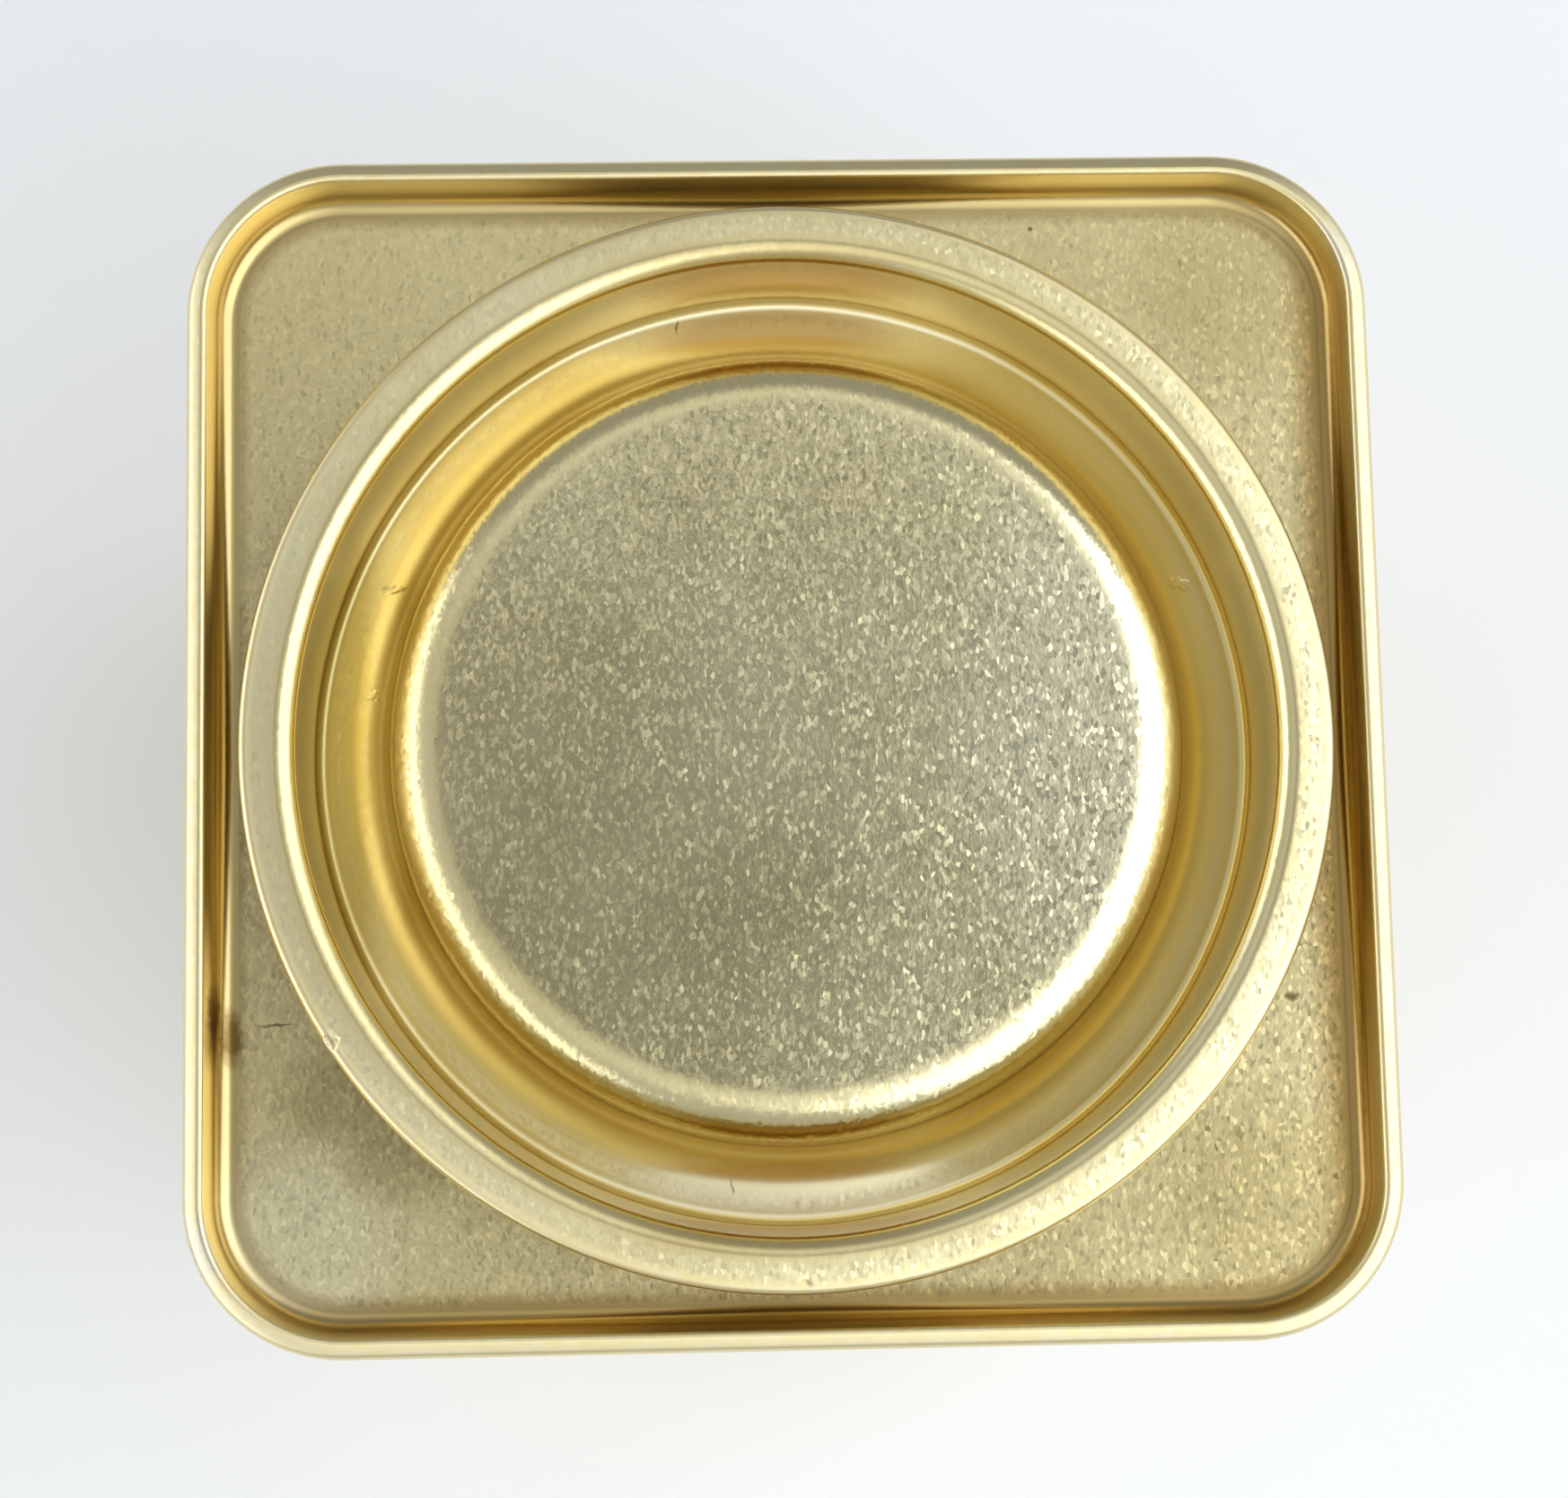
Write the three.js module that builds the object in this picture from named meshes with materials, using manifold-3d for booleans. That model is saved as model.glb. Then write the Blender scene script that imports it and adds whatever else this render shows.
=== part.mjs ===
// Square tea tin with a round press-in lid: four tinplate pressings and two seam linings.
// Millimetres, +Z up. The tin stands on z = 0, its axis is the Z axis and its back faces +Y.
// Bend radii are those of the middle of the sheet.
import * as THREE from 'three';
import { mergeVertices } from 'three/addons/utils/BufferGeometryUtils.js';
import Module from 'manifold-3d';

// Overall size
const tinHeight = 115; // over both seams
const bodyWidth = 76.4; // outside of the wall, flat to flat
const bodyCorner = 9.4; // outside radius of the wall's corners

// Tinplate
const bodyPlate = 0.22;
const endPlate = 0.22;
const lidPlate = 0.25;

// Double seams, where an end and the body are hooked into each other
const seamHeight = 3;
const seamGap = 0.06; // between one layer of the seam and the next
const hookRelief = 0.45; // from the edge of a hook to the fold that it points into

// Side seam of the body, hooked and flattened on the inside of the back
const lockWidth = 4;
const lockGroove = 0.5; // width of the line that the seam leaves on the outside
const lockEndGap = 0.6; // from the seam to the panels above and below it

// Ends
const panelDepth = 3.3; // from the crown of the seam to the sunk panel
const panelWallLean = 0.6; // how far the wall round the panel leans in
const panelBend = 0.8; // bend between that wall and the panel
const footStepInset = 5; // flat margin of the bottom panel, outside its stiffening step
const footStepRise = 0.8;

// Mouth, a raised bead with a neck that hangs from it
const flangeGap = 1.6; // from the lid's edge to the foot of the wall round the panel
const beadGap = 0.8; // from the bead to the lid's rolled edge, room for a spoon's tip
const beadWidth = 1.5;
const beadFoot = 0.5; // bend where the panel turns up into the bead
const neckDepth = 7.5; // from the crown of the seam to the rolled foot of the neck
const neckRollWidth = 1;
const neckRollLip = 0.8;

// Lid
const lidAboveCrown = 1.1; // from the crown of the seam up to the lid's flange
const lidSeatGap = 0.2; // between the flange's inner edge and the bead
const plugGap = 0.15; // between the plug and the neck
const plugDepth = 9; // from the flange to the foot of the plug
const plugTaper = 0.6; // how much the plug's radius shrinks to its foot
const channelWidth = 6.27; // from the plug to the raised disc
const channelRise = 0.9; // from the plug's foot up to the foot of the disc's side
const channelOuterBend = 0.8;
const channelInnerBend = 3.6;
const discDrop = 1.3; // from the flange down to the raised disc
const discLean = 0.7; // how far the disc's side spreads to its foot
const discEdgeBend = 3.3;
const flangeFall = 0.3; // from the flange's inner edge to its outer edge
const rollDepth = 1; // height of the lid's rolled edge
const rollLip = 0.9; // how far that edge is turned in
const rollFlat = 0.1; // upright run between its two bends

// Facets
const cornerSteps = 5; // along a corner of the body
const sideSteps = 6; // along a side, where a round mouth has to be joined to it
const roundSteps = 4 * (cornerSteps + sideSteps);
const seamFacet = Math.PI / 4; // turn from one facet of a bend to the next
const formFacet = Math.PI / 6;

// Layers of a double seam as distances outside the wall of the body, from the inside out.
// The folds are concentric, so every layer keeps the same gap to the next.
const panelWallAt = -(bodyPlate + seamGap + endPlate / 2);
const bodyWallAt = -bodyPlate / 2;
const endHookAt = seamGap + endPlate / 2;
const bodyHookAt = endHookAt + endPlate / 2 + seamGap + bodyPlate / 2;
const outerWallAt = bodyHookAt + bodyPlate / 2 + seamGap + endPlate / 2;
const crownBend = (outerWallAt - panelWallAt - endPlate) / 2;
const bodyHookBend = (bodyHookAt - bodyWallAt - endPlate) / 2;
const endHookBend = (outerWallAt - endHookAt - bodyPlate) / 2;

// Depths below the crown of the seam
const bodyFoldDepth = endPlate + seamGap + bodyPlate / 2;
const endHookTip = bodyFoldDepth + bodyPlate / 2 + hookRelief;
const bodyHookTip = seamHeight - endPlate - hookRelief;
const panelAt = panelDepth + endPlate / 2;
const beadCrest = lidPlate + lidSeatGap - lidAboveCrown;

// Radii of the mouth and the lid, worked inwards from the wall round the panel
const panelHalfWidth = bodyWidth / 2 + panelWallAt - endPlate / 2 - panelWallLean;
const flangeRadius = panelHalfWidth - flangeGap;
const beadRadius = flangeRadius - rollLip - beadGap;
const mouthRadius = beadRadius - beadWidth;
const plugRadius = mouthRadius - plugGap;
const discRadius = plugRadius - lidPlate - channelWidth;
const beadBend = (beadWidth - 2 * endPlate) / 2;
const neckRollBend = (neckRollWidth - endPlate) / 2;
const flangeBend = beadBend + endPlate / 2 + plugGap + lidPlate / 2;
const rollBend = (rollDepth - lidPlate - rollFlat) / 2;

const wasm = await Module();
wasm.setup();

// Middle of a formed sheet: straight runs between corners [x, y, bend], each rounded by its bend.
function bentLine(corners, facet) {
  const at = corners.map(([x, y]) => new THREE.Vector2(x, y));
  const line = [at[0]];
  for (let i = 1; i < at.length - 1; i += 1) {
    const back = at[i - 1].clone().sub(at[i]).normalize();
    const ahead = at[i + 1].clone().sub(at[i]).normalize();
    const bend = corners[i][2];
    const half = Math.acos(back.dot(ahead)) / 2;
    const turn = Math.sign(ahead.cross(back)) * (Math.PI - 2 * half);
    const centre = back.clone().add(ahead).setLength(bend / Math.sin(half)).add(at[i]);
    const start = back.clone().multiplyScalar(bend / Math.tan(half)).add(at[i]);
    const steps = Math.max(1, Math.round(Math.abs(turn) / facet));
    for (let k = 0; k <= steps; k += 1) {
      line.push(start.clone().rotateAround(centre, (turn * k) / steps));
    }
  }
  line.push(at[at.length - 1]);
  return line;
}

// The two faces of a sheet that follows a line, to the right and to the left of its run.
function sheetFaces(line, plate) {
  const normals = line.slice(1).map((point, i) => {
    const run = point.clone().sub(line[i]).normalize();
    return new THREE.Vector2(-run.y, run.x);
  });
  const face = (side) => line.map((point, i) => {
    const before = normals[Math.max(i - 1, 0)];
    const after = normals[Math.min(i, normals.length - 1)];
    const mitre = before.clone().add(after).normalize();
    return point.clone().addScaledVector(mitre, (side * plate) / 2 / mitre.dot(before));
  });
  return { right: face(-1), left: face(1) };
}

// Ring of points round the body, a distance outside its wall.
function squareRing(outside, z, steps) {
  const centre = bodyWidth / 2 - bodyCorner;
  const quarter = Math.PI / 2;
  const arcPoint = (corner, turn) => new THREE.Vector2(bodyCorner + outside, 0)
    .rotateAround(new THREE.Vector2(), turn * quarter)
    .add(new THREE.Vector2(centre, centre))
    .rotateAround(new THREE.Vector2(), corner * quarter);
  const ring = [];
  for (let corner = 0; corner < 4; corner += 1) {
    for (let k = 0; k <= cornerSteps; k += 1) {
      ring.push(arcPoint(corner, k / cornerSteps));
    }
    const sideStart = arcPoint(corner, 1);
    const sideEnd = arcPoint(corner + 1, 0);
    for (let k = 1; k < steps; k += 1) {
      ring.push(sideStart.clone().lerp(sideEnd, k / steps));
    }
  }
  return ring.map((point) => new THREE.Vector3(point.x, point.y, z));
}

// Ring of points round the mouth, in step with the points of a square ring.
function roundRing(radius, z) {
  const step = (2 * Math.PI) / roundSteps;
  const first = Math.PI / 4 - (cornerSteps / 2) * step;
  return Array.from({ length: roundSteps }, (_, k) => new THREE.Vector3(
    radius * Math.cos(first + k * step),
    radius * Math.sin(first + k * step),
    z,
  ));
}

// Surface over a row of rings: the last joins the first, or flat caps close both ends.
function skin(rings, capped) {
  const count = rings[0].length;
  const points = rings.flat();
  const index = [];
  const bands = capped ? rings.length - 1 : rings.length;
  for (let band = 0; band < bands; band += 1) {
    const low = band * count;
    const high = ((band + 1) % rings.length) * count;
    for (let k = 0; k < count; k += 1) {
      const next = (k + 1) % count;
      index.push(low + k, low + next, high + next, low + k, high + next, high + k);
    }
  }
  if (capped) {
    const lowest = points.length;
    const last = (rings.length - 1) * count;
    points.push(new THREE.Vector3(0, 0, rings[0][0].z));
    points.push(new THREE.Vector3(0, 0, rings[rings.length - 1][0].z));
    for (let k = 0; k < count; k += 1) {
      const next = (k + 1) % count;
      index.push(lowest, next, k, lowest + 1, last + k, last + next);
    }
  }
  const geometry = new THREE.BufferGeometry().setFromPoints(points);
  geometry.setIndex(index);
  return geometry;
}

function toSolid(geometry) {
  geometry.deleteAttribute('normal');
  geometry.deleteAttribute('uv');
  const merged = mergeVertices(geometry);
  return new wasm.Manifold(new wasm.Mesh({
    numProp: 3,
    vertProperties: Float32Array.from(merged.attributes.position.array),
    triVerts: Uint32Array.from(merged.index.array),
  }));
}

function fromSolid(solid) {
  const mesh = solid.getMesh();
  const geometry = new THREE.BufferGeometry();
  geometry.setAttribute('position', new THREE.BufferAttribute(mesh.vertProperties, 3));
  geometry.setIndex(new THREE.BufferAttribute(mesh.triVerts, 1));
  return geometry;
}

// Corners of an end from the edge of its hook, over the crown of the seam, down to the panel.
// They are given as the distance outside the body and the depth below the crown.
function endSeamCorners() {
  return [
    [endHookAt, endHookTip],
    [endHookAt, seamHeight - endPlate / 2, endHookBend],
    [outerWallAt, seamHeight - endPlate / 2, endHookBend],
    [outerWallAt, endPlate / 2, crownBend],
    [panelWallAt, endPlate / 2, crownBend],
    [panelWallAt - panelWallLean, panelAt, panelBend],
  ];
}

// Body: one sheet rolled to a square tube, its two rims folded out and down as hooks.
function bodyWall() {
  const line = bentLine([
    [bodyHookAt, tinHeight - bodyHookTip],
    [bodyHookAt, tinHeight - bodyFoldDepth, bodyHookBend],
    [bodyWallAt, tinHeight - bodyFoldDepth, bodyHookBend],
    [bodyWallAt, bodyFoldDepth, bodyHookBend],
    [bodyHookAt, bodyFoldDepth, bodyHookBend],
    [bodyHookAt, bodyHookTip],
  ], seamFacet);
  const { right, left } = sheetFaces(line, bodyPlate);
  const loop = [...right, ...left.reverse()];
  const tube = toSolid(skin(loop.map((point) => squareRing(point.x, point.y, 1)), false));
  return fromSolid(tube.add(sideSeamLock()).subtract(sideSeamGroove()));
}

// Strip of a trapezium section that stands along the back of the body.
function backStrip(footWidth, topWidth, footAt, topAt, from, to) {
  const section = new THREE.Shape([
    new THREE.Vector2(-footWidth / 2, footAt),
    new THREE.Vector2(-topWidth / 2, topAt),
    new THREE.Vector2(topWidth / 2, topAt),
    new THREE.Vector2(footWidth / 2, footAt),
  ]);
  const strip = new THREE.ExtrudeGeometry(section, { depth: to - from, bevelEnabled: false });
  return toSolid(strip.translate(0, 0, from));
}

// The four layers of the side seam stand two plates proud of the inside of the wall.
function sideSeamLock() {
  const wall = bodyWidth / 2 - bodyPlate;
  const rise = 2 * (bodyPlate + seamGap);
  const end = panelDepth + endPlate + lockEndGap;
  return backStrip(lockWidth + 2 * rise, lockWidth, wall + bodyPlate / 2, wall - rise, end, tinHeight - end);
}

// On the outside the seam shows as a fine pressed line.
function sideSeamGroove() {
  const wall = bodyWidth / 2;
  const end = seamHeight;
  return backStrip(2 * lockGroove, lockGroove, wall + bodyPlate / 2, wall - bodyPlate / 2, end, tinHeight - end);
}

// Bottom end: a seamed panel, sunk above the foot and stiffened by a pressed step.
function bottomEnd() {
  const stepAt = panelWallAt - panelWallLean - footStepInset;
  const line = bentLine([
    ...endSeamCorners(),
    [stepAt, panelAt, footStepRise],
    [stepAt - footStepRise, panelAt + footStepRise, footStepRise],
    [stepAt - 2 * footStepRise, panelAt + footStepRise],
  ], seamFacet);
  const { right, left } = sheetFaces(line, endPlate);
  const loop = [...left.reverse(), ...right];
  return skin(loop.map((point) => squareRing(point.x, point.y, 1)), true);
}

// Top end: a seamed panel like the bottom's, whose round mouth has a raised bead and a neck.
// It is drawn crown down, as it lies in the press.
function topEnd() {
  const rim = sheetFaces(bentLine([
    ...endSeamCorners(),
    [panelWallAt - panelWallLean - panelBend, panelAt],
  ], seamFacet), endPlate);
  const beadSide = beadRadius - endPlate / 2;
  const neckWall = mouthRadius + endPlate / 2;
  const neckFoot = neckDepth - endPlate / 2;
  const mouth = sheetFaces(bentLine([
    [beadRadius + beadFoot, panelAt],
    [beadSide, panelAt, beadFoot],
    [beadSide, beadCrest + endPlate / 2, beadBend],
    [neckWall, beadCrest + endPlate / 2, beadBend],
    [neckWall, neckFoot, neckRollBend],
    [neckWall + neckRollWidth, neckFoot, neckRollBend],
    [neckWall + neckRollWidth, neckFoot - neckRollLip],
  ], seamFacet), endPlate);
  const square = (point) => squareRing(point.x, point.y, sideSteps);
  const round = (point) => roundRing(point.x, point.y);
  return skin([
    ...rim.right.map(square),
    ...mouth.right.map(round),
    ...mouth.left.reverse().map(round),
    ...rim.left.reverse().map(square),
  ], false);
}

// Lid: a round plug with a raised disc, a deep channel round it and a flange with a rolled edge.
// Its origin is on the underside of the flange.
function plugLid() {
  const flange = lidPlate / 2;
  const disc = flange - discDrop;
  const foot = flange - plugDepth;
  const plugWall = plugRadius - lidPlate / 2;
  const roll = flangeRadius - lidPlate / 2;
  const line = bentLine([
    [0, disc],
    [discRadius, disc, discEdgeBend],
    [discRadius + discLean, foot + channelRise, channelInnerBend],
    [plugWall - plugTaper, foot, channelOuterBend],
    [plugWall, flange, flangeBend],
    [roll, flange - flangeFall, rollBend],
    [roll, flange - flangeFall - rollDepth + lidPlate, rollBend],
    [flangeRadius - rollLip, flange - flangeFall - rollDepth + lidPlate],
  ], formFacet);
  const { right, left } = sheetFaces(line, lidPlate);
  return new THREE.LatheGeometry([...right, ...left.reverse()], roundSteps).rotateX(Math.PI / 2);
}

// Lining that fills the fold of the body's hook, above the edge of the end's hook.
function seamLining() {
  const top = bodyFoldDepth + bodyPlate / 2 + seamGap;
  const foot = endHookTip - seamGap;
  const inner = seamGap;
  const outer = seamGap + endPlate;
  const loop = [[inner, top], [outer, top], [outer, foot], [inner, foot]];
  return skin(loop.map(([outside, depth]) => squareRing(outside, depth, 1)), false);
}

function lacquer(color, roughness) {
  return new THREE.MeshStandardMaterial({ color, roughness, metalness: 1 });
}

function rubber() {
  return new THREE.MeshStandardMaterial({ color: 0x8c877b, roughness: 0.8, metalness: 0 });
}

const tin = new THREE.Group();

function place(name, geometry, material, height, crownUp) {
  const mesh = new THREE.Mesh(geometry, material);
  mesh.name = name;
  mesh.position.z = height;
  mesh.rotation.x = crownUp ? Math.PI : 0;
  tin.add(mesh);
}

place('body_wall', bodyWall(), lacquer(0xc2a866, 0.36), 0, false);
place('bottom_end', bottomEnd(), lacquer(0xbfa766, 0.36), 0, false);
place('bottom_seam_lining', seamLining(), rubber(), 0, false);
place('top_end', topEnd(), lacquer(0xc4ad6c, 0.34), tinHeight, true);
place('top_seam_lining', seamLining(), rubber(), tinHeight, true);
place('plug_lid', plugLid(), lacquer(0xc8b478, 0.32), tinHeight + lidAboveCrown - lidPlate, false);

export default tin;
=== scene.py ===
import cmath
import math

import bmesh
import bpy
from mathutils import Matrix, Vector


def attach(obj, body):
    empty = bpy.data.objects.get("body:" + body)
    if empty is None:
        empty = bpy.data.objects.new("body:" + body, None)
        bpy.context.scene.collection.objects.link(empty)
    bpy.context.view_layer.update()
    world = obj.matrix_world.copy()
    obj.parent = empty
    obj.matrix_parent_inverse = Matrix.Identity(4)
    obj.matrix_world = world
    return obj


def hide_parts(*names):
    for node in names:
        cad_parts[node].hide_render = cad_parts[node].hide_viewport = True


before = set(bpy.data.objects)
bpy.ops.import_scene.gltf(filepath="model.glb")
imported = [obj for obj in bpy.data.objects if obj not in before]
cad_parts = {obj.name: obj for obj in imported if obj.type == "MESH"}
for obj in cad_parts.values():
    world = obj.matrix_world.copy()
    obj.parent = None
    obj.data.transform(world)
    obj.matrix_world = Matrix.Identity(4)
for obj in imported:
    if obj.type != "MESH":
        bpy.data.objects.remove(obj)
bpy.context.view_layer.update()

# Body: one sheet of tinplate, lacquered gold and rolled to a square tube with round corners.
# Its edges are hooked into each other and flattened down the back, and both its rims are
# folded out and back on themselves as hooks for the two ends. Sizes are in millimetres.
millimetre = 0.001
tin_height = 115.0
body_width = 76.4
body_corner = 9.4
body_plate = 0.22
end_plate = 0.22
seam_height = 3.0
seam_gap = 0.06
hook_relief = 0.45
crown_fall = 0.45
end_hook_at = seam_gap + end_plate / 2
body_wall_at = -body_plate / 2
body_hook_at = end_hook_at + end_plate / 2 + seam_gap + body_plate / 2
body_hook_bend = (body_hook_at - body_wall_at - end_plate) / 2
body_fold_depth = end_plate + crown_fall + seam_gap + body_plate / 2
body_hook_tip = seam_height - end_plate - hook_relief
corner_steps = 20
body_facet = 15
sharp_edge = 40

# How the press leaves the face of a sheet, as (share of the rolled grain left, roughness).
as_rolled = (0.34, 0.24)
rubbed = (0.1, 0.42)
strained = (0.4, 0.30)
burnished = (0.05, 0.31)


def bent_line(corners, facet_degrees):
    """Middle of a formed sheet as points (place, finish, bared), each corner rounded by its bend.

    A corner is (across, up, bend, finish, wear and shade), whose last value above 0 is how far
    use has rubbed it, and below 0 how much painted shade it takes.
    """
    places = [complex(across, up) for across, up, *_ in corners]
    line = []
    for i, (here, (_, _, bend, finish, wear_and_shade)) in enumerate(zip(places, corners)):
        if bend == 0:
            line.append((here, finish, wear_and_shade))
            continue
        back = (places[i - 1] - here) / abs(places[i - 1] - here)
        ahead = (places[i + 1] - here) / abs(places[i + 1] - here)
        half = math.acos((back * ahead.conjugate()).real) / 2
        turn = math.copysign(math.pi - 2 * half, (ahead.conjugate() * back).imag)
        centre = here + (back + ahead) / abs(back + ahead) * bend / math.sin(half)
        start = here + back * bend / math.tan(half)
        steps = max(2, round(abs(turn) / math.radians(facet_degrees)))
        for k in range(steps + 1):
            spoke = (start - centre) * cmath.exp(1j * turn * k / steps)
            line.append((centre + spoke, finish, wear_and_shade))
    return line


def sheet_loop(line, plate):
    """Closed section of a sheet that follows a line: its right face, then its left face back."""
    places = [place for place, _, _ in line]
    normals = [1j * (b - a) / abs(b - a) for a, b in zip(places, places[1:])]
    right, left = [], []
    for i, (place, finish, wear_and_shade) in enumerate(line):
        before = normals[max(i - 1, 0)]
        after = normals[min(i, len(normals) - 1)]
        mitre = (before + after) / abs(before + after)
        offset = mitre * plate / 2 / (mitre * before.conjugate()).real
        right.append((place - offset, finish, wear_and_shade))
        left.append((place + offset, finish, wear_and_shade))
    return right + left[::-1]


def square_ring(outside, up, stops, shift=None):
    """Ring of points round the tin, a distance outside its wall, with stops along each side."""
    centre = body_width / 2 - body_corner
    ring = []
    for side in range(4):
        turn = 1j ** side
        for k in range(corner_steps + 1):
            arc = (body_corner + outside) * cmath.exp(0.5j * math.pi * k / corner_steps)
            ring.append(turn * (arc + complex(centre, centre)))
        for along in stops:
            out = body_width / 2 + outside + (shift(side, along) if shift else 0)
            ring.append(turn * complex(-along, out))
    return [Vector((point.real, point.imag, up)) for point in ring]


def formed_piece(name, rings, marks, capped=False):
    """Closed mesh over a row of rings, with each ring's (finish, bared) kept on its points."""
    mesh = bpy.data.meshes.new(name)
    shape = bmesh.new()
    grain_layer = shape.verts.layers.float.new("grain")
    rough_layer = shape.verts.layers.float.new("rough")
    wear_and_shade_layer = shape.verts.layers.float.new("wear_and_shade")
    rows = []
    for ring, ((grain, rough), wear_and_shade) in zip(rings, marks):
        row = [shape.verts.new(point * millimetre) for point in ring]
        for vert in row:
            vert[grain_layer] = grain
            vert[rough_layer] = rough
            vert[wear_and_shade_layer] = wear_and_shade
        rows.append(row)
    bands = list(zip(rows, rows[1:])) + ([] if capped else [(rows[-1], rows[0])])
    for low, high in bands:
        for k in range(len(low)):
            following = (k + 1) % len(low)
            shape.faces.new((low[k], low[following], high[following], high[k]))
    if capped:
        shape.faces.new(rows[0])
        shape.faces.new(rows[-1])
    bmesh.ops.recalc_face_normals(shape, faces=shape.faces[:])
    shape.to_mesh(mesh)
    shape.free()
    mesh.polygons.foreach_set("use_smooth", [True] * len(mesh.polygons))
    mesh.set_sharp_from_angle(angle=math.radians(sharp_edge))
    piece = bpy.data.objects.new(name, mesh)
    bpy.context.scene.collection.objects.link(piece)
    return piece


# The lock seam stands inward and shows outside as a shallow groove. The sides are a little
# hollow between the two ends, as thin plate springs back.
lock_half = 2.0
lock_rise = 2 * (body_plate + seam_gap)
lock_foot = lock_half + lock_rise
lock_from = 4.12
lock_slope = 0.4
groove_half = 0.25
groove_foot = 0.5
groove_depth = 0.11
groove_from = 3.0
side_hollow = 0.28
hollow_full_at = 30
side_half = body_width / 2 - body_corner
half_stops = [groove_half, groove_foot, lock_half, lock_foot, 6, 12, 18, 24]
body_stops = [-stop for stop in reversed(half_stops)] + half_stops
wall_stops = [3.1, lock_from, lock_from + lock_slope, 8, 14, 22, 30, 40, 50]
wall_stops = wall_stops + [tin_height - stop for stop in reversed(wall_stops)]
body_corners = [
    (body_hook_at, tin_height - body_hook_tip, 0, burnished, 0),
    (body_hook_at, tin_height - body_fold_depth, body_hook_bend, burnished, 0),
    (body_wall_at, tin_height - body_fold_depth, body_hook_bend, burnished, 0),
    *[(body_wall_at, stop, 0, as_rolled, 0) for stop in reversed(wall_stops)],
    (body_wall_at, body_fold_depth, body_hook_bend, burnished, 0),
    (body_hook_at, body_fold_depth, body_hook_bend, burnished, 0),
    (body_hook_at, body_hook_tip, 0, burnished, 0),
]


def ramp(value, start, end):
    """Share of the way from start to end, held between 0 and 1."""
    return min(1.0, max(0.0, (value - start) / (end - start)))


def wall_shift(up, inside):
    """How far a side of the body stands out at a height: hollow sides, and the seam at the back."""
    from_end = min(up, tin_height - up)

    def shift(side, along):
        full = ramp(from_end, seam_height, hollow_full_at)
        bow = -side_hollow * (1 - (along / side_half) ** 2) * full
        if side != 0:
            return bow
        if inside:
            lock = ramp(from_end, lock_from, lock_from + lock_slope)
            return bow - lock_rise * lock * ramp(abs(along), lock_foot, lock_half)
        groove = ramp(from_end, groove_from, groove_from + lock_slope)
        return bow - groove_depth * groove * ramp(abs(along), groove_foot, groove_half)
    return shift


loop = sheet_loop(bent_line(body_corners, body_facet), body_plate)
rings = []
for i, (place, _, _) in enumerate(loop):
    on_wall = abs(place.real - body_wall_at) < body_plate
    shift = wall_shift(place.imag, i < len(loop) / 2) if on_wall else None
    rings.append(square_ring(place.real, place.imag, body_stops, shift))
body = formed_piece("rolled_body", rings, [marks for _, *marks in loop])


def linear(hex_colour):
    """An sRGB hex colour as the linear colour that a shader takes."""
    shares = [int(hex_colour[i:i + 2], 16) / 255 for i in (1, 3, 5)]
    return [s / 12.92 if s <= 0.04045 else ((s + 0.055) / 1.055) ** 2.4 for s in shares] + [1.0]


def add_node(tree, kind, inputs, **settings):
    """Adds a node; each input is a socket to link from or a value to set."""
    new = tree.nodes.new("ShaderNode" + kind)
    for key, value in settings.items():
        setattr(new, key, value)
    for key, value in inputs.items():
        if isinstance(value, bpy.types.NodeSocket):
            tree.links.new(value, new.inputs[key])
        else:
            new.inputs[key].default_value = value
    return new


def spot(tree, place, centre, reach):
    """Mask of one mark: 1 round its centre and 0 from its reach outwards, both (x, y, z) in mm."""
    core = 0.35
    away = add_node(tree, "VectorMath", {0: place, 1: [c * millimetre for c in centre]},
                    operation="SUBTRACT")
    share = add_node(tree, "VectorMath", {0: away.outputs[0],
                                          1: [r * millimetre for r in reach]},
                     operation="DIVIDE")
    length = add_node(tree, "VectorMath", {0: share.outputs[0]}, operation="LENGTH")
    mask = add_node(tree, "MapRange", {"Value": length.outputs["Value"], "From Min": 1.0,
                                       "From Max": core}, interpolation_type="SMOOTHSTEP")
    return mask.outputs[0]


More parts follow.
